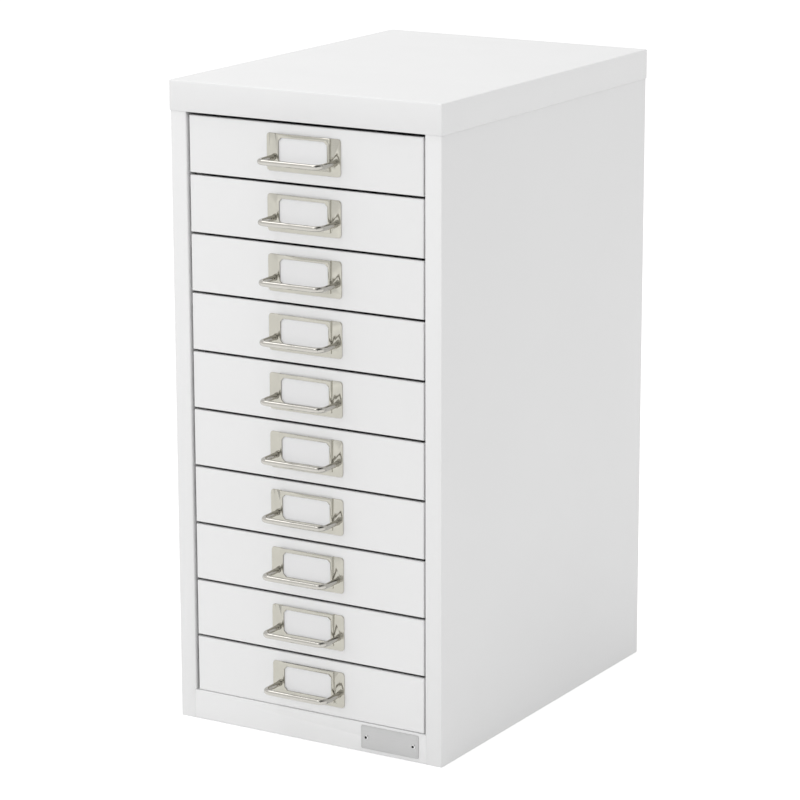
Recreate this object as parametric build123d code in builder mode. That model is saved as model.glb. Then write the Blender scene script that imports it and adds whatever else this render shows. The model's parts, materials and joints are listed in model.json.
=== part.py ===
from build123d import *
import math
import os

# A tabletop chest of ten shallow drawers, folded from steel sheet.
# X runs to the right, Y to the back and Z up. The origin is the middle of the base.
# All lengths are in millimetres.

# Overall sizes
WIDTH = 279.0  # across the cap
DEPTH = 380.0  # front to back across the cap
HEIGHT = 590.0
DRAWERS = 10

# Case sheet and its folds
SHEET = 1.0
BEND = 1.2  # outside radius of a fold in the case
CAP_SHEET = 0.8
CAP_BEND = 1.5  # outside radius of the cap's edges
CAP_SKIRT = 27.4
STILE = 16.7  # front face of a side panel, beside the drawers
STILE_RETURN = 13.0  # how far the stile turns back into the case
REAR_FLANGE = 15.0
PLINTH = 27.4
RAIL_DEPTH = 24.0  # plinth rail and header rail, front to back
RAIL_LIP = 8.0
BASE_FLANGE = 12.0
SEAM = 0.02  # between two sheets that are welded edge to edge

# Drawer fronts
DRAWER_GAP = 2.3  # between two fronts
TOP_GAP = 2.8
BOTTOM_GAP = 0.3
SIDE_GAP = 2.25
RECESS = 1.5  # drawer fronts sit this far behind the stiles
FRONT_DEPTH = 4.0  # how far the edges of a front are folded back
FRONT_BEND = 1.2  # outside radius of those folds

# Drawer trays
TRAY_SHEET = 0.8
TRAY_BEND = 1.2  # inside radius where the floor turns up into a side
RIM_DROP = 5.0  # from the front's top edge down to the tray's rim
RIM_REACH = 7.0  # from the tray's inside out to the rim's edge
RIM_HEM = 4.5  # the rim's edge, turned down; it slides on the runner
REAR_CLEARANCE = 17.0  # from the closed tray to the back panel
BACK_WALL_DROP = 3.0

# Runners: channels that the rims slide in
RUNNER_SHEET = 1.0
SLIDE_CLEARANCE = 0.3  # hem above the shelf, and closed front before the runner
RUNNER_INSIDE = 7.0  # height inside the channel
RUNNER_SIDE_CLEARANCE = 0.8
SHELF_CLEARANCE = 1.3  # shelf edge to tray side
LIP_CUTBACK = 1.5  # the upper lip is this much narrower than the shelf
RUNNER_LENGTH = 352.0
TRAVEL = 300.0  # how far a drawer pulls out
STOP_DEPTH = 1.9  # tab bent down from the lip, near the front
STOP_SETBACK = 4.0  # tab behind the runner's front end
STOP_THICKNESS = 1.0
LUG_HEIGHT = 1.7  # dimple on the rim that meets the tab
LUG_WIDTH = 3.0
LUG_LENGTH = 3.0

# Uprights that carry the runners
UPRIGHT_WIDTH = 24.0
UPRIGHT_FLANGE = 9.0
UPRIGHT_FRONT = 30.0  # middle of the front pair, behind the body's front
UPRIGHT_REAR = 40.0  # middle of the rear pair, before the body's back
UPRIGHT_FOOT = 2.0  # foot of an upright above the plinth's ledge

# Card holder: a plate with a raised frame, and a wire pull
PLATE_WIDTH = 75.6
PLATE_HEIGHT = 33.2
PLATE_LIFT = 0.3  # plate's middle above the middle of the drawer's front
PLATE_CORNER = 3.0
PLATE_SHEET = 0.8
FRAME_WIDTH = 54.8  # outside
FRAME_RISE = 1.5
FRAME_FOOT = 3.8  # flat strip of the plate below the frame
WINDOW_WIDTH = 49.5
WINDOW_HEIGHT = 22.7
WINDOW_LIFT = 1.9  # window's middle above the plate's middle
WINDOW_CORNER = 3.0  # cut off at a slant
CARD_THICKNESS = 0.4
CARD_SIDE_CLEARANCE = 0.5
CARD_TOP_MARGIN = 1.5  # card's top edge below the plate's
CARD_SLACK = 0.1  # between the card and the frame that it leans on
WIRE = 5.1  # across the corners of its drawn section
WIRE_SIDES = 12
LEG_CLEARANCE = 0.05
PULL_WIDTH = 63.0  # between the middles of the two legs
PULL_REACH = 25.5  # middle of the bar in front of the plate
PULL_DROP = 4.9  # legs below the plate's middle
PULL_BEND = 7.0
BEND_RUNS = 3  # straight runs that stand for each bend of the wire

# Bare metal plate on the plinth
BADGE_WIDTH = 59.2
BADGE_HEIGHT = 21.5
BADGE_CORNER = 1.3
BADGE_SHEET = 0.8
BADGE_INSET = 6.7  # from the drawer opening's right edge
BADGE_DROP = 12.7  # its middle below the plinth's top
RIVET_SPACING = 48.7
RIVET_HEAD = 4.6
RIVET_SHANK = 2.0
RIVET_RISE = 0.9
RIVET_TAIL = 3.0
RIVET_SIDES = 12
RIVET_CLEARANCE = 0.05

# Places worked out from the sizes above
body_x = WIDTH / 2 - CAP_SHEET
body_y = DEPTH / 2 - CAP_SHEET
panel_top = HEIGHT - CAP_SHEET
inner_x = body_x - SHEET
opening_x = body_x - STILE
opening_top = HEIGHT - CAP_SKIRT

front_height = (
    opening_top - PLINTH - TOP_GAP - BOTTOM_GAP - (DRAWERS - 1) * DRAWER_GAP
) / DRAWERS
pitch = front_height + DRAWER_GAP
first_base = PLINTH + BOTTOM_GAP  # lower edge of the lowest front
front_x = opening_x - SIDE_GAP
front_y = -body_y + RECESS

hem_x = front_x - TRAY_SHEET
tray_x = hem_x - RIM_REACH
tray_rear = body_y - 2 * SHEET - REAR_CLEARANCE
tray_floor = 2 * TRAY_SHEET  # its sheet lies on the front's lower fold
rim_top = front_height - RIM_DROP

shelf_top = rim_top - RIM_HEM - SLIDE_CLEARANCE
channel_x = hem_x + RUNNER_SIDE_CLEARANCE
shelf_x = tray_x + TRAY_SHEET + SHELF_CLEARANCE
runner_front = front_y + FRONT_DEPTH + SLIDE_CLEARANCE
stop_front = runner_front + STOP_SETBACK
lug_front = stop_front + STOP_THICKNESS + SLIDE_CLEARANCE + TRAVEL
lug_x = (shelf_x + LIP_CUTBACK + channel_x) / 2

plate_z = front_height / 2 + PLATE_LIFT
plate_y = front_y - PLATE_SHEET
wire_y = plate_y - PULL_REACH
wire_z = plate_z - PULL_DROP


def folded(plane, points, sheet, bend, side=Side.LEFT):
    """Cut face of a folded sheet: a line along one of its sides, thickened to the other."""
    with BuildSketch(plane) as section:
        with BuildLine():
            FilletPolyline(*points, radius=bend)
            offset(amount=sheet, side=side, kind=Kind.INTERSECTION)
        make_face()
    return section.sketch


def keep(piece, name):
    """Name a finished piece and write it to its own file."""
    piece.label = name
    export_step(piece, f"parts/{name}.step")


os.makedirs("parts", exist_ok=True)

# Top cap: a lid folded down on four sides, over the body
with BuildPart() as top_cap:
    with BuildSketch(Plane.XY.offset(opening_top)):
        Rectangle(WIDTH, DEPTH)
    extrude(amount=CAP_SKIRT)
    cap_edges = top_cap.edges().filter_by(Axis.Z) + top_cap.edges().group_by(Axis.Z)[-1]
    fillet(cap_edges, radius=CAP_BEND)
    with BuildSketch(Plane.XY.offset(opening_top)):
        Rectangle(2 * body_x, 2 * body_y)
    extrude(amount=CAP_SKIRT - CAP_SHEET, mode=Mode.SUBTRACT)
keep(top_cap.part, "top_cap")

# Side panels: one sheet gives the rear flange, the side, the stile and its return
panel_line = [
    (-body_x + REAR_FLANGE, body_y),
    (-body_x, body_y),
    (-body_x, -body_y),
    (-opening_x, -body_y),
    (-opening_x, -body_y + STILE_RETURN),
]
stile_edge = opening_x + BEND  # where the stile's face ends and its fold begins
with BuildPart() as side_panel_left:
    extrude(folded(Plane.XY, panel_line, SHEET, BEND), amount=panel_top)
    # the fold and its return are cut away for the plinth, which is welded to the face
    with BuildSketch():
        with Locations((-(stile_edge + opening_x) / 2, -body_y + STILE_RETURN / 2)):
            Rectangle(BEND, STILE_RETURN)
    extrude(amount=PLINTH + SEAM, mode=Mode.SUBTRACT)
keep(side_panel_left.part, "side_panel_left")

with BuildPart() as side_panel_right:
    mirror(side_panel_left.part, about=Plane.YZ)
keep(side_panel_right.part, "side_panel_right")

# Back panel, welded to the inside of the rear flanges
back_inset = BEND - SHEET + SEAM
with BuildPart() as back_panel:
    with BuildSketch(Plane.XZ.offset(-body_y + SHEET)):
        with Locations((0, panel_top / 2)):
            Rectangle(2 * (inner_x - back_inset), panel_top)
    extrude(amount=SHEET)
keep(back_panel.part, "back_panel")

# Base pan: the floor, with flanges up the sides and the back
base_front = -body_y + RAIL_DEPTH + SEAM
base_rear = body_y - 2 * SHEET
with BuildPart() as base_pan:
    with BuildSketch():
        with Locations((0, (base_front + base_rear) / 2)):
            Rectangle(2 * inner_x, base_rear - base_front)
    extrude(amount=BASE_FLANGE)
    fillet(base_pan.edges().filter_by(Axis.Y).group_by(Axis.Z)[0], radius=BEND)
    open_faces = [base_pan.faces().sort_by(Axis.Z)[-1], base_pan.faces().sort_by(Axis.Y)[0]]
    offset(amount=-SHEET, openings=open_faces)
keep(base_pan.part, "base_pan")

# Plinth rail: its face closes the gap between the stiles, its top fold is the ledge
plinth_x = stile_edge - SEAM
plinth_line = [
    (-body_y + RAIL_DEPTH, PLINTH - RAIL_LIP),
    (-body_y + RAIL_DEPTH, PLINTH),
    (-body_y, PLINTH),
    (-body_y, 0),
    (-body_y + RAIL_DEPTH, 0),
]
with BuildPart() as plinth_rail:
    extrude(folded(Plane.YZ.offset(-plinth_x), plinth_line, SHEET, BEND), amount=2 * plinth_x)
    # holes for the two rivets of the bare plate
    badge_x = opening_x - BADGE_INSET - BADGE_WIDTH / 2
    badge_z = PLINTH - BADGE_DROP
    with BuildSketch(Plane.XZ.offset(body_y)):
        with Locations((badge_x, badge_z)):
            with GridLocations(RIVET_SPACING, 0, 2, 1):
                RegularPolygon(RIVET_SHANK / 2 + RIVET_CLEARANCE, RIVET_SIDES)
    extrude(amount=-SHEET, mode=Mode.SUBTRACT)
keep(plinth_rail.part, "plinth_rail")

# Header rail: a channel behind the cap's front skirt, above the top drawer
rail_x = opening_x - SEAM
header_line = [
    (-body_y + RAIL_DEPTH, opening_top + RAIL_LIP),
    (-body_y + RAIL_DEPTH, opening_top),
    (-body_y, opening_top),
    (-body_y, panel_top),
    (-body_y + RAIL_DEPTH, panel_top),
]
with BuildPart() as header_rail:
    extrude(
        folded(Plane.YZ.offset(-rail_x), header_line, SHEET, BEND, Side.RIGHT),
        amount=2 * rail_x,
    )
keep(header_rail.part, "header_rail")

# Runner uprights: hat sections on the side panels, a front and a rear one on each side
upright_base = PLINTH + UPRIGHT_FOOT
upright_x = channel_x + 2 * RUNNER_SHEET
hat_line = [
    (inner_x, -UPRIGHT_WIDTH / 2 - UPRIGHT_FLANGE),
    (inner_x, -UPRIGHT_WIDTH / 2),
    (upright_x, -UPRIGHT_WIDTH / 2),
    (upright_x, UPRIGHT_WIDTH / 2),
    (inner_x, UPRIGHT_WIDTH / 2),
    (inner_x, UPRIGHT_WIDTH / 2 + UPRIGHT_FLANGE),
]
with BuildPart() as runner_uprights:
    for middle in (-body_y + UPRIGHT_FRONT, body_y - UPRIGHT_REAR):
        hat_plane = Plane((0, middle, upright_base))
        extrude(
            folded(hat_plane, hat_line, RUNNER_SHEET, 0),
            amount=opening_top - upright_base,
        )
    mirror(about=Plane.YZ)
keep(runner_uprights.part, "runner_uprights")

# Runners: a channel for each drawer on each side, with a stop tab near its front
channel_line = [
    (-shelf_x, shelf_top - RUNNER_SHEET),
    (-channel_x - RUNNER_SHEET, shelf_top - RUNNER_SHEET),
    (-channel_x - RUNNER_SHEET, shelf_top + RUNNER_INSIDE + RUNNER_SHEET),
    (-shelf_x - LIP_CUTBACK, shelf_top + RUNNER_INSIDE + RUNNER_SHEET),
]
tab_inner = shelf_x + LIP_CUTBACK
with BuildPart() as runners_left:
    for step in range(DRAWERS):
        level = first_base + step * pitch
        runner_plane = Plane((0, runner_front, level), x_dir=(1, 0, 0), z_dir=(0, -1, 0))
        channel = folded(runner_plane, channel_line, RUNNER_SHEET, 0, Side.RIGHT)
        extrude(channel, amount=-RUNNER_LENGTH)
        with BuildSketch(Plane.XY.offset(level + shelf_top + RUNNER_INSIDE)):
            with Locations((-(tab_inner + channel_x) / 2, stop_front + STOP_THICKNESS / 2)):
                Rectangle(channel_x - tab_inner, STOP_THICKNESS)
        extrude(amount=-STOP_DEPTH)
keep(runners_left.part, "runners_left")

with BuildPart() as runners_right:
    mirror(runners_left.part, about=Plane.YZ)
keep(runners_right.part, "runners_right")

# Drawer tray, drawn with the lower edge of its front at zero.
# Floor, sides and outward rims are one folded strip, and the front is a shallow folded pan.
tray_line = [
    (-hem_x, rim_top - RIM_HEM),
    (-hem_x, rim_top),
    (-tray_x, rim_top),
    (-tray_x, tray_floor),
    (tray_x, tray_floor),
    (tray_x, rim_top),
    (hem_x, rim_top),
    (hem_x, rim_top - RIM_HEM),
]
tray_bends = [0, 0, TRAY_BEND, TRAY_BEND, 0, 0]
tray_start = front_y + TRAY_SHEET
with BuildPart() as tray:
    with BuildSketch(Plane.XZ.offset(-front_y)):
        with Locations((0, front_height / 2)):
            Rectangle(2 * front_x, front_height)
    extrude(amount=-FRONT_DEPTH)
    fillet(tray.faces().sort_by(Axis.Y)[0].edges(), radius=FRONT_BEND)
    with BuildSketch(Plane.XZ.offset(-tray_start)):
        with Locations((0, front_height / 2)):
            Rectangle(2 * hem_x, front_height - 2 * TRAY_SHEET)
    extrude(amount=TRAY_SHEET - FRONT_DEPTH, mode=Mode.SUBTRACT)
    # the folded strip
    strip = folded(Plane.XZ.offset(-tray_start), tray_line, TRAY_SHEET, tray_bends, Side.RIGHT)
    extrude(strip, amount=tray_start - tray_rear)
    # the back wall, a little lower than the rims
    back_wall_top = rim_top - BACK_WALL_DROP
    with BuildSketch(Plane.XZ.offset(-tray_rear)):
        with Locations((0, (tray_floor + back_wall_top) / 2)):
            Rectangle(2 * tray_x, back_wall_top - tray_floor)
    extrude(amount=TRAY_SHEET)
    # dimples on the rims that meet the stop tabs
    with BuildSketch(Plane.XY.offset(rim_top)):
        with Locations((0, lug_front + LUG_LENGTH / 2)):
            with GridLocations(2 * lug_x, 0, 2, 1):
                Rectangle(LUG_WIDTH, LUG_LENGTH)
    extrude(amount=LUG_HEIGHT)

# Card holder: wings and foot flat on the front, and a raised frame with the window
frame_y = front_y - FRAME_RISE
pocket_x = FRAME_WIDTH / 2 - PLATE_SHEET
holder_base = plate_z - PLATE_HEIGHT / 2
frame_base = holder_base + FRAME_FOOT
holder_line = [
    (-PLATE_WIDTH / 2, front_y),
    (-pocket_x, front_y),
    (-pocket_x, frame_y),
    (pocket_x, frame_y),
    (pocket_x, front_y),
    (PLATE_WIDTH / 2, front_y),
]
with BuildPart() as card_holder:
    frame_plane = Plane.XY.offset(frame_base)
    extrude(
        folded(frame_plane, holder_line, PLATE_SHEET, 0, Side.RIGHT),
        amount=PLATE_HEIGHT - FRAME_FOOT,
    )
    with BuildSketch(frame_plane):
        with Locations((0, (plate_y + front_y) / 2)):
            Rectangle(PLATE_WIDTH, PLATE_SHEET)
    extrude(amount=-FRAME_FOOT)
    fillet(card_holder.edges().filter_by(Axis.Y).group_by(Axis.X)[0], radius=PLATE_CORNER)
    fillet(card_holder.edges().filter_by(Axis.Y).group_by(Axis.X)[-1], radius=PLATE_CORNER)
    with BuildSketch(Plane.XZ.offset(-frame_y)):
        with Locations((0, plate_z + WINDOW_LIFT)):
            window = Rectangle(WINDOW_WIDTH, WINDOW_HEIGHT)
            chamfer(window.vertices(), length=WINDOW_CORNER)
    extrude(amount=PLATE_SHEET, mode=Mode.SUBTRACT)
    # holes for the legs of the pull, in the wings
    with BuildSketch(Plane.XZ.offset(-front_y)):
        with Locations((0, wire_z)):
            with GridLocations(PULL_WIDTH, 0, 2, 1):
                RegularPolygon(WIRE / 2 + LEG_CLEARANCE, WIRE_SIDES)
    extrude(amount=PLATE_SHEET, mode=Mode.SUBTRACT)
    # the frame's lower edge is turned back to the foot, and the card stands on it
    with BuildSketch(frame_plane):
        with Locations((0, (frame_y + front_y) / 2)):
            Rectangle(2 * pocket_x, FRAME_RISE)
    extrude(amount=PLATE_SHEET)

# Blank card in the pocket behind the window
card_width = 2 * (pocket_x - CARD_SIDE_CLEARANCE)
card_base = frame_base + PLATE_SHEET
card_top = holder_base + PLATE_HEIGHT - CARD_TOP_MARGIN
card_back = frame_y + CARD_SLACK + CARD_THICKNESS
with BuildPart() as card:
    with BuildSketch(Plane.XZ.offset(-card_back)):
        with Locations((0, (card_base + card_top) / 2)):
            Rectangle(card_width, card_top - card_base)
    extrude(amount=CARD_THICKNESS)

# Wire pull: two legs and a bar, each bend drawn as a few short mitred runs
pull_path = []
for side, angles in ((-1, range(BEND_RUNS + 1)), (1, range(BEND_RUNS, -1, -1))):
    for index in angles:
        turn = math.radians(90 * index / BEND_RUNS)
        pull_path.append(
            (
                side * (PULL_WIDTH / 2 - PULL_BEND + PULL_BEND * math.cos(turn)),
                wire_y + PULL_BEND - PULL_BEND * math.sin(turn),
                wire_z,
            )
        )
with BuildPart() as pull:
    leg_start = (-PULL_WIDTH / 2, front_y, wire_z)
    leg_end = (PULL_WIDTH / 2, front_y, wire_z)
    with BuildLine():
        Polyline(leg_start, *pull_path, leg_end)
    with BuildSketch(Plane(leg_start, x_dir=(1, 0, 0), z_dir=(0, -1, 0))):
        RegularPolygon(WIRE / 2, WIRE_SIDES)
    sweep(transition=Transition.RIGHT)

# The top drawer is number 1, and each one below it is a lowered copy
for number in range(1, DRAWERS + 1):
    level = first_base + (DRAWERS - number) * pitch
    for piece, name in ((tray, "tray"), (card_holder, "card_holder"), (card, "card"), (pull, "pull")):
        keep(piece.part.moved(Location((0, 0, level))), f"drawer_{number:02d}_{name}")

# Bare plate on the plinth, held by two rivets
badge_plane = Plane.XZ.offset(body_y)
with BuildPart() as plinth_plate:
    with BuildSketch(badge_plane):
        with Locations((badge_x, badge_z)):
            RectangleRounded(BADGE_WIDTH, BADGE_HEIGHT, BADGE_CORNER)
            with GridLocations(RIVET_SPACING, 0, 2, 1):
                RegularPolygon(RIVET_SHANK / 2 + RIVET_CLEARANCE, RIVET_SIDES, mode=Mode.SUBTRACT)
    extrude(amount=BADGE_SHEET)
keep(plinth_plate.part, "plinth_plate")

with BuildPart() as plinth_rivets:
    with BuildSketch(badge_plane.offset(BADGE_SHEET)):
        with Locations((badge_x, badge_z)):
            with GridLocations(RIVET_SPACING, 0, 2, 1):
                RegularPolygon(RIVET_HEAD / 2, RIVET_SIDES)
    extrude(amount=RIVET_RISE)
    chamfer(plinth_rivets.faces().group_by(Axis.Y)[0].edges(), length=RIVET_RISE / 2)
    with BuildSketch(badge_plane.offset(BADGE_SHEET)):
        with Locations((badge_x, badge_z)):
            with GridLocations(RIVET_SPACING, 0, 2, 1):
                RegularPolygon(RIVET_SHANK / 2, RIVET_SIDES)
    extrude(amount=-(BADGE_SHEET + RIVET_TAIL))
keep(plinth_rivets.part, "plinth_rivets")

print("front height", round(front_height, 2), "pitch", round(pitch, 2), "travel", TRAVEL)
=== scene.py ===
# %% [markdown]
# A tabletop chest of ten shallow steel drawers: a white folded case, and on each drawer a
# nickel card holder with a wire pull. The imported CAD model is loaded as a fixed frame, so each
# piece below is made in metres, straight in its place, and rides on the body that carries it.

# %% Load the frame
import json
import math

import bmesh
import bpy
from mathutils import Matrix, Vector

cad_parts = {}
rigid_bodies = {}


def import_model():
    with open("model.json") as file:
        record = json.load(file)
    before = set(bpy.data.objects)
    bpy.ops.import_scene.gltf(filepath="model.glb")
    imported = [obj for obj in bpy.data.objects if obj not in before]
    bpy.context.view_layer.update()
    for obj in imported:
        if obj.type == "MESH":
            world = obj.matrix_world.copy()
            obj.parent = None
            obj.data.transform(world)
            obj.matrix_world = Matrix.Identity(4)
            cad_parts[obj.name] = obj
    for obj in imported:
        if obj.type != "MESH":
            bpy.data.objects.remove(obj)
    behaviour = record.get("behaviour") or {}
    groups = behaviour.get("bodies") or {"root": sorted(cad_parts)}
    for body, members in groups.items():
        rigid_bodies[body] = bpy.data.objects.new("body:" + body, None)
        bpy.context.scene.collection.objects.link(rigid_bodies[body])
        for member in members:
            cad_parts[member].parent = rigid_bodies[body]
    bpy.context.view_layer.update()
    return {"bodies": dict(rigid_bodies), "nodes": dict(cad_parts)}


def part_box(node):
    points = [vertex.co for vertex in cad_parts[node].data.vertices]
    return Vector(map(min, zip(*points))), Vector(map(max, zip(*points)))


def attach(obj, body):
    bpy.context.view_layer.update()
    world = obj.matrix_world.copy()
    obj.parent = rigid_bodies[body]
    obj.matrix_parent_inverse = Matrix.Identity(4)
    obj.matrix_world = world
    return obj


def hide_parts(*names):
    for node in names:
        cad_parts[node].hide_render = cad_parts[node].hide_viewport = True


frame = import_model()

MM = 0.001
scene = bpy.context.scene
scene.view_settings.view_transform = "Standard"
drawers = sorted(name for name in frame["bodies"] if name.startswith("drawer"))

# %% [markdown]
# The photograph is a product shot through a long lens, from the right of the front and a little
# above. A camera could be placed by eye, but its place and turn were worked out from the
# cabinet's corners, so that the edges of the render lie on those of the photograph.

# %% Camera
CAMERA_PLACE = (1.5355, -2.5823, 1.025)
CAMERA_LENS = 150.0
YAW, PITCH, ROLL = (math.radians(a) for a in (31.01, 14.00, -0.15))

ahead = Vector((-math.sin(YAW) * math.cos(PITCH), math.cos(YAW) * math.cos(PITCH), -math.sin(PITCH)))
level_right = Vector((math.cos(YAW), math.sin(YAW), 0))
level_up = level_right.cross(ahead)
right = level_right * math.cos(ROLL) + level_up * math.sin(ROLL)
up = level_up * math.cos(ROLL) - level_right * math.sin(ROLL)

camera = bpy.data.objects.new("camera", bpy.data.cameras.new("camera"))
camera.data.lens = CAMERA_LENS
camera.matrix_world = Matrix.Translation(CAMERA_PLACE) @ Matrix((right, up, -ahead)).transposed().to_4x4()
scene.collection.objects.link(camera)
scene.camera = camera
print("camera distance in m:", round(camera.location.length, 3))

# %% [markdown]
# A node material is a small graph. These helpers add a node with its values, join two sockets,
# start a finish, and mix two tones by a noise, so that each finish below reads as a short list
# of what it is made of. A Mix node has sockets for every kind of data: three are its colours.

# %% Helpers for node graphs
MIX_DARK, MIX_LIGHT, MIX_RESULT = 6, 7, 2


def add_node(tree, kind, values=None, **settings):
    """Adds a node, with its settings and the values of its own sockets."""
    made = tree.nodes.new(kind)
    for name, setting in settings.items():
        setattr(made, name, setting)
    for socket, value in (values or {}).items():
        made.inputs[socket].default_value = value
    return made


def join(tree, source, output, target, socket):
    """Links an output of one node to an input of another."""
    tree.links.new(source.outputs[output], target.inputs[socket])


def new_finish(name, values):
    """A material with a Principled shader, and object coordinates to hang patterns on."""
    finish = bpy.data.materials.new(name)
    finish.use_nodes = True
    tree = finish.node_tree
    shader = tree.nodes["Principled BSDF"]
    for socket, value in values.items():
        shader.inputs[socket].default_value = value
    return finish, tree, shader, add_node(tree, "ShaderNodeTexCoord")


def mix_tones(tree, noise, dark, light, shader):
    """Lets a noise choose the base colour between two tones."""
    mix = add_node(tree, "ShaderNodeMix", {MIX_DARK: (*dark, 1), MIX_LIGHT: (*light, 1)}, data_type="RGBA")
    join(tree, noise, 0, mix, 0)
    join(tree, mix, MIX_RESULT, shader, "Base Color")


print("helpers ready")

# %% [markdown]
# The backdrop is pure white, as in a catalogue. A brighter world would give that too, but it
# would bleach the white paint. So the world is white only to the camera and to reflections, and
# the light it sheds on the object is softer. Light Path tells the kinds of ray apart.

# %% World
WORLD_LIGHT = 0.80

world = bpy.data.worlds.new("studio")
scene.world = world
world.use_nodes = True
sky = world.node_tree
rays = add_node(sky, "ShaderNodeLightPath")
seen = add_node(sky, "ShaderNodeMath", operation="MAXIMUM")
seen_through = add_node(sky, "ShaderNodeMath", operation="MAXIMUM")
strength = add_node(sky, "ShaderNodeMapRange", {"To Min": WORLD_LIGHT, "To Max": 1.0})
join(sky, rays, "Is Camera Ray", seen, 0)
join(sky, rays, "Is Glossy Ray", seen, 1)
join(sky, seen, 0, seen_through, 0)
join(sky, rays, "Is Transmission Ray", seen_through, 1)
join(sky, seen_through, 0, strength, "Value")
join(sky, strength, "Result", sky.nodes["Background"], "Strength")
sky.nodes["Background"].inputs["Color"].default_value = (1, 1, 1, 1)
print("world light on the object:", WORLD_LIGHT)

# %% [markdown]
# Softboxes do the rest. A large one at the front left makes the drawer fronts a step lighter
# than the side. Two hang overhead: the round wires mirror them as the bright line along each pull
# and the bright spot in its bend. A weak one keeps the side from falling off. Only the overhead
# ones show in polished metal: the others stand for light that comes through wide cloth.

# %% Softboxes
AIM = Vector((0, 0, 0.3))


def softbox(name, place, width, height, power, mirrored=False):
    """A rectangular lamp that faces the middle of the cabinet."""
    lamp = bpy.data.lights.new(name, "AREA")
    lamp.shape = "RECTANGLE"
    lamp.size, lamp.size_y, lamp.energy = width, height, power
    holder = bpy.data.objects.new(name, lamp)
    holder.location = place
    holder.rotation_euler = (AIM - holder.location).to_track_quat("-Z", "Y").to_euler()
    holder.visible_glossy = mirrored
    scene.collection.objects.link(holder)
    print(name, "power in W:", power)


softbox("softbox_front", (-1.6, -3.6, 0.8), 2.4, 2.4, 28)
softbox("softbox_top", (-0.95, -0.2, 2.5), 0.9, 1.6, 10, mirrored=True)
softbox("softbox_high", (-0.3, -1.5, 2.2), 0.7, 0.7, 3, mirrored=True)
softbox("softbox_right", (2.6, 0.4, 0.5), 1.6, 1.6, 4.5)

# %% [markdown]
# The floor is a plain white sheet. It catches the cabinet's soft shadow as any matt surface
# does, and a little light of its own, shown only to the camera and to reflections, brings the
# sheet up to the white of the backdrop. It is one large face, as a sheet on a table is.

# %% Floor
FLOOR_SIZE = 60.0
FLOOR_TONE = (0.86, 0.86, 0.86, 1)
FLOOR_GLOW = 0.42


def matt_finish(name, tone):
    """A finish with no gloss at all, for what belongs to the studio."""
    finish, tree, shader, _ = new_finish(name, {"Base Color": tone, "Roughness": 1.0})
    shader.inputs["Specular IOR Level"].default_value = 0.0
    return finish, tree, shader


def level_corners(x_low, x_high, y_low, y_high, height):
    """The corners of a level rectangle."""
    outline = [(x_low, y_low), (x_high, y_low), (x_high, y_high), (x_low, y_high)]
    return [(x, y, height) for x, y in outline]


def studio_sheet(name, corners, finish):
    """A flat sheet that belongs to the studio, and not to the cabinet."""
    mesh = bpy.data.meshes.new(name)
    mesh.from_pydata(corners, [], [(0, 1, 2, 3)])
    mesh.materials.append(finish)
    sheet = bpy.data.objects.new(name, mesh)
    scene.collection.objects.link(sheet)
    return sheet


floor_paper, tree, shader = matt_finish("floor_paper", FLOOR_TONE)
shader.inputs["Emission Color"].default_value = (1, 1, 1, 1)
rays = add_node(tree, "ShaderNodeLightPath")
seen = add_node(tree, "ShaderNodeMath", operation="MAXIMUM")
glow = add_node(tree, "ShaderNodeMath", {1: FLOOR_GLOW}, operation="MULTIPLY")
join(tree, rays, "Is Camera Ray", seen, 0)
join(tree, rays, "Is Glossy Ray", seen, 1)
join(tree, seen, 0, glow, 0)
join(tree, glow, 0, shader, "Emission Strength")

half = FLOOR_SIZE / 2
studio_sheet("floor", level_corners(-half, half, -half, half, 0), floor_paper)
print("floor across in m:", FLOOR_SIZE)

# %% [markdown]
# Polished metal shows the whole studio, and in an all-white one it looks like plaster. In a real
# studio the ceiling beyond the lamps is dark, and so are the camera and its tripod. The bends of
# the wire, and the corners where it meets the plate, gather these into small black marks. Three
# dark sheets do that here: two up on the right, with a bright slit between them, and one behind
# the lens. Only reflections can see them.

# %% Dark sheets for the metal to mirror
CEILING_HEIGHT = 2.9
CEILING_FRONT, CEILING_REAR = -3.2, 0.5
CEILING_STRIPS = ((0.08, 0.28), (0.42, 3.0))
SHAPE_WIDTH = 0.5
SHAPE_FOOT, SHAPE_TOP = 0.3, 1.8
BEHIND_LENS = 0.3
CLOTH_TONE = (0.01, 0.01, 0.01, 1)

dark_cloth, _, _ = matt_finish("dark_cloth", CLOTH_TONE)


def dark_sheet(name, corners):
    """A dark sheet that only reflections see."""
    sheet = studio_sheet(name, corners, dark_cloth)
    sheet.visible_camera = sheet.visible_diffuse = sheet.visible_shadow = False


for number, (x_low, x_high) in enumerate(CEILING_STRIPS, start=1):
    corners = level_corners(x_low, x_high, CEILING_FRONT, CEILING_REAR, CEILING_HEIGHT)
    dark_sheet(f"dark_ceiling_{number}", corners)

camera_foot = Vector((camera.location.x, camera.location.y, 0))
away = camera_foot.normalized()
across = Vector((-away.y, away.x, 0)) * SHAPE_WIDTH / 2
left_foot = camera_foot + away * BEHIND_LENS - across
right_foot = camera_foot + away * BEHIND_LENS + across
low_edge = Vector((0, 0, SHAPE_FOOT))
high_edge = Vector((0, 0, SHAPE_TOP))
standing = [left_foot + low_edge, right_foot + low_edge, right_foot + high_edge, left_foot + high_edge]
dark_sheet("behind_lens", standing)
print("dark sheets:", len(CEILING_STRIPS) + 1)

# %% [markdown]
# Powder coat is a baked plastic skin over steel. Close up it is not flat: it has a fine orange
# peel of bumps about a millimetre apart, and its gloss and white drift a little over each panel.
# Three noise textures of different scales give those three things.

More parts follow.
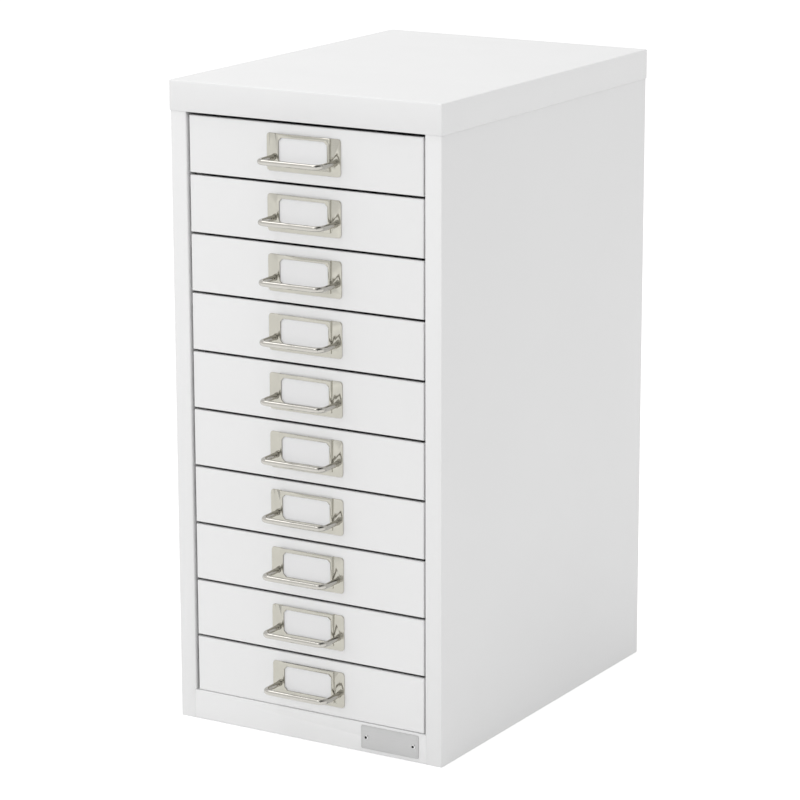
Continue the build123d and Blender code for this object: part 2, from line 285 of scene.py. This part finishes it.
# %% Powder coat
powder_coat, tree, shader, place = new_finish("powder_coat", {"Roughness": 0.42, "Specular IOR Level": 0.35})
drift = add_node(tree, "ShaderNodeTexNoise", {"Scale": 5.0, "Detail": 3.0})
gloss_noise = add_node(tree, "ShaderNodeTexNoise", {"Scale": 38.0, "Detail": 4.0})
gloss = add_node(tree, "ShaderNodeMapRange", {"To Min": 0.36, "To Max": 0.48})
peel = add_node(tree, "ShaderNodeTexNoise", {"Scale": 850.0, "Detail": 2.0})
bumps = add_node(tree, "ShaderNodeBump", {"Strength": 0.12, "Distance": 0.05 * MM})
for noise in (drift, gloss_noise, peel):
    join(tree, place, "Object", noise, "Vector")
mix_tones(tree, drift, (0.80, 0.80, 0.80), (0.84, 0.84, 0.84), shader)
join(tree, gloss_noise, 0, gloss, 0)
join(tree, gloss, 0, shader, "Roughness")
join(tree, peel, 0, bumps, "Height")
join(tree, bumps, 0, shader, "Normal")
print("powder coat nodes:", len(tree.nodes))

# %% [markdown]
# Bright nickel is a warm grey mirror. On stamped sheet it is plated over rolled steel, so the
# reflection is soft and carries fine upright rolling lines. Drawn wire is smoother. One recipe
# makes both: what differs is how rough it is and along which axis the lines are stretched.

# %% Nickel
SMOOTHEST, ROUGHEST = 0.75, 1.3


def nickel(name, roughness, line_scale, dark, light):
    """Plated metal whose gloss and tone follow fine stretched lines."""
    finish, tree, shader, place = new_finish(name, {"Metallic": 1.0, "Roughness": roughness})
    stretch = add_node(tree, "ShaderNodeMapping", {"Scale": line_scale})
    lines = add_node(tree, "ShaderNodeTexNoise", {"Scale": 1.0, "Detail": 5.0, "Roughness": 0.6})
    cloud = add_node(tree, "ShaderNodeTexNoise", {"Scale": 55.0, "Detail": 2.0})
    spread = {"To Min": roughness * SMOOTHEST, "To Max": roughness * ROUGHEST}
    blur = add_node(tree, "ShaderNodeMapRange", spread)
    scratch = add_node(tree, "ShaderNodeBump", {"Strength": 0.10, "Distance": 0.02 * MM})
    join(tree, place, "Object", stretch, "Vector")
    join(tree, place, "Object", cloud, "Vector")
    join(tree, stretch, 0, lines, "Vector")
    join(tree, lines, 0, blur, 0)
    join(tree, blur, 0, shader, "Roughness")
    mix_tones(tree, cloud, dark, light, shader)
    join(tree, lines, 0, scratch, "Height")
    join(tree, scratch, 0, shader, "Normal")
    return finish


plate_nickel = nickel("plate_nickel", 0.12, (900, 900, 40), (0.415, 0.405, 0.36), (0.495, 0.48, 0.425))
wire_nickel = nickel("wire_nickel", 0.06, (60, 900, 900), (0.47, 0.455, 0.42), (0.54, 0.525, 0.49))
# The window rim: a darker nickel, partly sheared steel and partly painted shade of the card pocket.
rim_steel_and_shade = nickel("rim_steel_and_shade", 0.30, (900, 900, 900), (0.20, 0.19, 0.17), (0.30, 0.29, 0.26))
rivet_steel = nickel("rivet_steel", 0.16, (700, 700, 700), (0.66, 0.66, 0.66), (0.76, 0.76, 0.76))
print("metals:", [metal.name for metal in (plate_nickel, wire_nickel, rim_steel_and_shade, rivet_steel)])

# %% [markdown]
# The card is plain unprinted board. Its fibres show as a faint mottle and a dull, very slightly
# uneven surface, so it reads as paper beside the glossier paint.

# %% Card board
card_board, tree, shader, place = new_finish("card_board", {"Roughness": 0.92, "Specular IOR Level": 0.2})
fibres = add_node(tree, "ShaderNodeTexNoise", {"Scale": 1400.0, "Detail": 6.0, "Roughness": 0.7})
nap = add_node(tree, "ShaderNodeBump", {"Strength": 0.25, "Distance": 0.03 * MM})
join(tree, place, "Object", fibres, "Vector")
mix_tones(tree, fibres, (0.82, 0.82, 0.825), (0.87, 0.87, 0.875), shader)
join(tree, fibres, 0, nap, "Height")
join(tree, nap, 0, shader, "Normal")
print("card board nodes:", len(tree.nodes))

# %% [markdown]
# The small plate on the plinth is aluminium, brushed along its length and left bare. Brushing
# is a noise stretched up to fifty times longer one way than another: it steers the gloss, the
# tone and a shallow bump together.

# %% Brushed aluminium
brushed_plate, tree, shader, place = new_finish("brushed_plate", {"Metallic": 1.0})
stretch = add_node(tree, "ShaderNodeMapping", {"Scale": (60, 1500, 3000)})
brush = add_node(tree, "ShaderNodeTexNoise", {"Scale": 1.0, "Detail": 6.0, "Roughness": 0.7})
blur = add_node(tree, "ShaderNodeMapRange", {"To Min": 0.34, "To Max": 0.52})
furrows = add_node(tree, "ShaderNodeBump", {"Strength": 0.2, "Distance": 0.02 * MM})
join(tree, place, "Object", stretch, "Vector")
join(tree, stretch, 0, brush, "Vector")
mix_tones(tree, brush, (0.43, 0.43, 0.43), (0.59, 0.59, 0.59), shader)
join(tree, brush, 0, blur, 0)
join(tree, blur, 0, shader, "Roughness")
join(tree, brush, 0, furrows, "Height")
join(tree, furrows, 0, shader, "Normal")
print("brushed plate nodes:", len(tree.nodes))

# %% [markdown]
# Inside the middle of each rivet is the snapped end of its pin, down a small hollow. The hollow
# and the pin end are painted nearly black, as painted shade of the hollow, and a coarse noise keeps
# them from being one flat colour.

# %% Painted shade for the rivet hollows
rivet_hollow_shade, tree, shader, place = new_finish("rivet_hollow_shade", {"Roughness": 0.8, "Specular IOR Level": 0.2})
grain = add_node(tree, "ShaderNodeTexNoise", {"Scale": 2500.0, "Detail": 3.0})
join(tree, place, "Object", grain, "Vector")
mix_tones(tree, grain, (0.01, 0.01, 0.01), (0.05, 0.05, 0.05), shader)
print("dark steel nodes:", len(tree.nodes))

# %% [markdown]
# Every piece ends the same way. Its modifiers are turned into plain mesh, it is put on its body,
# and the CAD node that it stands for is hidden.

# %% Finishing a piece


def plain_mesh(temporary):
    """The evaluated mesh of a working object, whose modifiers end here."""
    graph = bpy.context.evaluated_depsgraph_get()
    mesh = bpy.data.meshes.new_from_object(temporary.evaluated_get(graph), depsgraph=graph)
    bpy.data.objects.remove(temporary)
    return mesh


def working_object(name, mesh):
    """An object to hang modifiers on."""
    made = bpy.data.objects.new(name, mesh)
    scene.collection.objects.link(made)
    return made


def finished(name, mesh, body, node):
    """Places a finished mesh on its body, for the CAD node that it stands for."""
    mesh.name = name
    piece = working_object(name, mesh)
    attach(piece, body)
    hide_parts(node)
    return piece


# %% [markdown]
# A CAD node's mesh is loose triangles, which a bevel can't work on. A copy of it is merged first
# and its coplanar triangles are joined, so that only the real edges of the solid are left.

# %% Clean copies and broken edges
MERGE = 0.01 * MM
FLAT = math.radians(0.5)
SHARP = math.radians(50)


def break_edges(work, width, steps=2):
    """Adds the bevel that rounds every sharp edge of a working object."""
    bevel = work.modifiers.new("edges", "BEVEL")
    bevel.width, bevel.segments = width, steps
    bevel.limit_method, bevel.angle_limit = "ANGLE", SHARP
    bevel.harden_normals = True
    bevel.miter_outer = "MITER_ARC"


def merged_copy(node, finish):
    """The CAD node's own shape, with doubles merged and coplanar facets joined."""
    mesh = frame["nodes"][node].data.copy()
    shell = bmesh.new()
    shell.from_mesh(mesh)
    bmesh.ops.remove_doubles(shell, verts=shell.verts, dist=MERGE)
    bmesh.ops.dissolve_limit(shell, angle_limit=FLAT, verts=shell.verts, edges=shell.edges)
    for face in shell.faces:
        face.smooth = True
    shell.to_mesh(mesh)
    shell.free()
    mesh.materials.clear()
    mesh.materials.append(finish)
    return mesh


print("edges sharper than, in degrees:", round(math.degrees(SHARP)))

# %% [markdown]
# The case and the drawer trays are folded sheet, and the CAD has every fold right. What the eye
# still misses there is the edge: real sheet is cut, then coated, and the coat rounds each cut
# edge. It could be drawn into the solid, but a narrow bevel on the clean copy does it for every
# edge at once, and catches the thin bright line that sharp CAD edges never show.

# %% Sheet pieces with coated edges
COAT_EDGE = 0.18 * MM


def coated_sheet(node, body):
    """A sheet piece like its CAD node, with coated edges."""
    work = working_object(node + "_work", merged_copy(node, powder_coat))
    break_edges(work, COAT_EDGE)
    return finished(node + "_coated", plain_mesh(work), body, node)


case_sheets = ["top_cap", "side_panel_left", "side_panel_right", "plinth_rail", "back_panel"]
for node in case_sheets:
    coated_sheet(node, "case")
for body in drawers:
    coated_sheet(body + "_tray", body)
print("coated sheets:", len(case_sheets) + len(drawers))

# %% [markdown]
# The header rail, base, runners and uprights are hidden, or show only when a drawer opens. Their
# CAD nodes stay as they are and get the paint. The cards keep their solids and get the board.

# %% Paint for the nodes that stay
for node in ("header_rail", "base_pan", "runner_uprights", "runners_left", "runners_right"):
    frame["nodes"][node].material_slots[0].material = powder_coat
for body in drawers:
    frame["nodes"][body + "_card"].material_slots[0].material = card_board
print("cards:", len(drawers))

# %% [markdown]
# Pieces that repeat or follow a rule are made by Geometry Nodes trees. These helpers start a tree
# with named sizes, join its nodes in a row, and hang it on an object with its sizes filled in.

# %% Helpers for geometry trees


def new_tree(name, sizes):
    """A geometry tree with one geometry input and output, and named sizes."""
    tree = bpy.data.node_groups.new(name, "GeometryNodeTree")
    tree.interface.new_socket("Geometry", in_out="INPUT", socket_type="NodeSocketGeometry")
    tree.interface.new_socket("Geometry", in_out="OUTPUT", socket_type="NodeSocketGeometry")
    for size, kind in sizes.items():
        tree.interface.new_socket(size, in_out="INPUT", socket_type="NodeSocket" + kind)
    return tree, tree.nodes.new("NodeGroupInput"), tree.nodes.new("NodeGroupOutput")


def chain(tree, first, *steps):
    """Joins the first output of each node to the first input of the next."""
    for source, target in zip((first, *steps), steps):
        tree.links.new(source.outputs[0], target.inputs[0])


def set_inputs(work, tree, values):
    """Adds the tree to an object and sets its named inputs by their identifiers."""
    modifier = work.modifiers.new(tree.name, "NODES")
    modifier.node_group = tree
    for item in tree.interface.items_tree:
        if item.name in values and item.in_out == "INPUT":
            modifier[item.identifier] = values[item.name]


print("tree helpers ready")

# %% [markdown]
# The pull is one piece of round wire with two bends. A curve with a bevel would do, but ten
# equal pulls follow one rule, so the rule is a tree: a path of four corners is filleted, a
# circle is swept along it, and the ends are capped. Its sizes are named inputs.

# %% Tree for the wire
wire_tree, sizes, result = new_tree(
    "wire_along_path",
    {"Wire radius": "Float", "Bend radius": "Float", "Bend steps": "Int", "Round steps": "Int"},
)
path = add_node(wire_tree, "GeometryNodeMeshToCurve")
bends = add_node(wire_tree, "GeometryNodeFilletCurve", mode="POLY")
circle = add_node(wire_tree, "GeometryNodeCurvePrimitiveCircle")
tube = add_node(wire_tree, "GeometryNodeCurveToMesh", {"Fill Caps": True})
smooth = add_node(wire_tree, "GeometryNodeSetShadeSmooth")
realize = add_node(wire_tree, "GeometryNodeRealizeInstances")
metal = add_node(wire_tree, "GeometryNodeSetMaterial", {"Material": wire_nickel})
chain(wire_tree, sizes, path, bends, tube, smooth, realize, metal, result)
join(wire_tree, sizes, "Bend radius", bends, "Radius")
join(wire_tree, sizes, "Bend steps", bends, "Count")
join(wire_tree, sizes, "Wire radius", circle, "Radius")
join(wire_tree, sizes, "Round steps", circle, "Resolution")
join(wire_tree, circle, "Curve", tube, "Profile Curve")
print("wire tree nodes:", len(wire_tree.nodes))

# %% [markdown]
# Each pull's path comes from the box of its CAD node: two legs straight out of the holder, and
# the bar across them. The wire is 5 mm thick and its bends have a 7 mm radius at the middle.

# %% Wire pulls
WIRE_RADIUS = 2.5 * MM
PULL_BEND = 7.0 * MM
BEND_STEPS = 10
ROUND_STEPS = 24


def wire_pull(body):
    """One pull along the middle line of its CAD node."""
    low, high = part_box(body + "_pull")
    left, leg_right = low.x + WIRE_RADIUS, high.x - WIRE_RADIUS
    bar, root, level = low.y + WIRE_RADIUS, high.y, (low.z + high.z) / 2
    corners = [(left, root, level), (left, bar, level), (leg_right, bar, level), (leg_right, root, level)]
    path = bpy.data.meshes.new(body + "_path")
    path.from_pydata(corners, [(0, 1), (1, 2), (2, 3)], [])
    work = working_object(body + "_wire_work", path)
    wire = {"Wire radius": WIRE_RADIUS, "Bend radius": PULL_BEND}
    set_inputs(work, wire_tree, {**wire, "Bend steps": BEND_STEPS, "Round steps": ROUND_STEPS})
    return finished(body + "_wire_pull", plain_mesh(work), body, body + "_pull")


pulls = [wire_pull(body) for body in drawers]
print("pull faces:", len(pulls[0].data.polygons))

# %% [markdown]
# The card holder is a stamping: a blank with round corners is cut, its window is pierced, and
# the middle is pressed forward to make the pocket for the card. It could be pressed here too,
# from a flat blank, but the CAD already has every step and hole of it at its right place. What
# it lacks is the press tool's mark: edges a quarter of a millimetre round, which draw the fine
# light and dark lines along the frame. So it is a merged copy with its edges broken.
#
# The window's rim is left as the punch sheared it, duller than the polished face, and its colour
# is darker still as painted shade of the card pocket behind it. Its facets are found by a rule:
# they stand square to the front, and lie inside the window's place.

# %% Card holders
PRESS_EDGE = 0.25 * MM
PRESS_STEPS = 3
WINDOW_REACH = 25.0 * MM
WINDOW_FOOT = 6.0 * MM
WINDOW_HEAD = 3.3 * MM
EDGE_ON = 0.5
RIM_SLOT = 1


def card_holder(body):
    """One stamped card holder, on the face of its drawer."""
    node = body + "_card_holder"
    low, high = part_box(node)
    mesh = merged_copy(node, plate_nickel)
    # The second slot is the darkened rim, which carries painted shade of the pocket.
    mesh.materials.append(rim_steel_and_shade)
    for facet in mesh.polygons:
        beside = abs(facet.center.x) < WINDOW_REACH
        between = low.z + WINDOW_FOOT < facet.center.z < high.z - WINDOW_HEAD
        if beside and between and abs(facet.normal.y) < EDGE_ON:
            facet.material_index = RIM_SLOT
    work = working_object(node + "_work", mesh)
    break_edges(work, PRESS_EDGE, PRESS_STEPS)
    return finished(body + "_stamped_holder", plain_mesh(work), body, node)


holders = [card_holder(body) for body in drawers]
print("holder faces:", len(holders[0].data.polygons))

# %% [markdown]
# The plate on the plinth has round corners, so its outline is a rectangle with four arcs. The
# arcs come from a formula, and the same formula gives every smaller outline inside it.

# %% Outline of the plate
CORNER_STEPS = 5


def rounded_outline(middle, width, height, radius):
    """Points round a rectangle with arcs at its corners, in the plane of the front."""
    points = []
    for quarter, (side, rise) in enumerate(((1, 1), (-1, 1), (-1, -1), (1, -1))):
        for step in range(CORNER_STEPS + 1):
            turn = math.pi / 2 * (quarter + step / CORNER_STEPS)
            x = middle.x + side * (width / 2 - radius) + radius * math.cos(turn)
            z = middle.z + rise * (height / 2 - radius) + radius * math.sin(turn)
            points.append((x, z))
    return points


print("points round the plate:", 4 * (CORNER_STEPS + 1))

# %% [markdown]
# The plate is left bare, with a softened edge and a fine engraved line just inside it. Cutting
# the line with a boolean would leave ragged faces. It is built as a stack of the same outline
# instead, each ring a little further in or deeper, which gives clean quads all round.

# %% Bare plate
PLATE_RADIUS = 1.3 * MM
SOFT_EDGE = 0.12 * MM
ENGRAVING = 0.12 * MM
LINE_INSET = 0.85 * MM
LINE_FLANK = 0.07 * MM
LINE_FLOOR = 0.20 * MM

low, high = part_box("plinth_plate")
middle = (low + high) / 2
face, back = low.y, high.y
trough = LINE_INSET + LINE_FLANK
rings = [
    (0.0, back),
    (0.0, face + SOFT_EDGE),
    (SOFT_EDGE, face),
    (LINE_INSET, face),
    (trough, face + ENGRAVING),
    (trough + LINE_FLOOR, face + ENGRAVING),
    (trough + LINE_FLOOR + LINE_FLANK, face),
]
shell = bmesh.new()
loops = []
for inset, depth in rings:
    width = high.x - low.x - 2 * inset
    height = high.z - low.z - 2 * inset
    outline = rounded_outline(middle, width, height, PLATE_RADIUS - inset)
    loops.append([shell.verts.new((x, depth, z)) for x, z in outline])
for lower, upper in zip(loops, loops[1:]):
    for i in range(len(lower)):
        following = (i + 1) % len(lower)
        shell.faces.new((lower[i], lower[following], upper[following], upper[i]))
shell.faces.new(loops[-1])
shell.faces.new(loops[0][::-1])
bmesh.ops.recalc_face_normals(shell, faces=shell.faces)
plate_mesh = bpy.data.meshes.new("bare_plate")
shell.to_mesh(plate_mesh)
shell.free()
plate_mesh.materials.append(brushed_plate)
finished("bare_plate", plate_mesh, "case", "plinth_plate")
print("bare plate rings:", len(rings), "faces:", len(plate_mesh.polygons))

# %% [markdown]
# Two blind rivets hold the plate. Each head is a low dome with the open end of its pin in the
# middle, so it is turned from a profile, ring by ring. A row of the profile is a share of the
# head's radius, a share of its height, and whether the band that ends there lies in the hollow.

# %% Rivet head
RIVET_STEPS = 28
PROFILE = [
    (0.15, 0.25, True),
    (0.53, 0.25, True),
    (0.56, 0.88, True),
    (0.61, 1.00, False),
    (0.69, 0.93, False),
    (0.81, 0.70, False),
    (0.93, 0.42, False),
    (1.00, 0.14, False),
    (1.00, -0.06, False),
]

rivet_low, rivet_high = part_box("plinth_rivets")
head_radius = (rivet_high.z - rivet_low.z) / 2
crown = face - rivet_low.y
head = bmesh.new()
recess = head.faces.layers.int.new("recess")
rows = []
for share, rise, _ in PROFILE:
    reach, depth = share * head_radius, -rise * crown
    turns = [2 * math.pi * step / RIVET_STEPS for step in range(RIVET_STEPS)]
    rows.append([head.verts.new((reach * math.cos(turn), depth, reach * math.sin(turn))) for turn in turns])
pin_end = head.faces.new(rows[0])
pin_end[recess] = 1
head.faces.new(rows[-1][::-1])
# Bands that lie in the hollow are marked, for its painted shade.
for (inner, outer), (_, _, dark) in zip(zip(rows, rows[1:]), PROFILE[1:]):
    for i in range(RIVET_STEPS):
        following = (i + 1) % RIVET_STEPS
        made = head.faces.new((inner[i], inner[following], outer[following], outer[i]))
        made.smooth = True
        made[recess] = int(dark)
bmesh.ops.recalc_face_normals(head, faces=head.faces)
head_mesh = bpy.data.meshes.new("rivet_head")
head.to_mesh(head_mesh)
head.free()
print("faces of one head:", len(head_mesh.polygons))

# %% [markdown]
# A row of fasteners is one head and a rule for where it goes: a line of points, with a head on
# each. The faces in the hollow carry a mark, and the tree gives them the near-black finish by it,
# as painted shade of the hollow.

# %% Row of rivets
NUMBER = 2

row_tree, sizes, result = new_tree(
    "row_of_rivets",
    {"Start": "Vector", "Spacing": "Vector", "Number": "Int"},
)
points = add_node(row_tree, "GeometryNodeMeshLine")
heads = add_node(row_tree, "GeometryNodeInstanceOnPoints")
realize = add_node(row_tree, "GeometryNodeRealizeInstances")
metal = add_node(row_tree, "GeometryNodeSetMaterial", {"Material": rivet_steel})
# The marked faces get painted shade: a near-black finish for the rivet's hollow and pin end.
pin = add_node(row_tree, "GeometryNodeSetMaterial", {"Material": rivet_hollow_shade})
hollow = add_node(row_tree, "GeometryNodeInputNamedAttribute", {"Name": "recess"}, data_type="BOOLEAN")
join(row_tree, sizes, "Number", points, "Count")
join(row_tree, sizes, "Start", points, "Start Location")
join(row_tree, sizes, "Spacing", points, "Offset")
join(row_tree, sizes, "Geometry", heads, "Instance")
join(row_tree, hollow, 0, pin, "Selection")
chain(row_tree, points, heads, realize, metal, pin, result)

work = working_object("rivets_work", head_mesh)
spacing = rivet_high.x - rivet_low.x - 2 * head_radius
start = (rivet_low.x + head_radius, face, middle.z)
set_inputs(work, row_tree, {"Start": start, "Spacing": (spacing, 0, 0), "Number": NUMBER})
rivets = finished("plate_rivets", plain_mesh(work), "case", "plinth_rivets")
print("rivet spacing in mm:", round(spacing / MM, 2), "faces:", len(rivets.data.polygons))
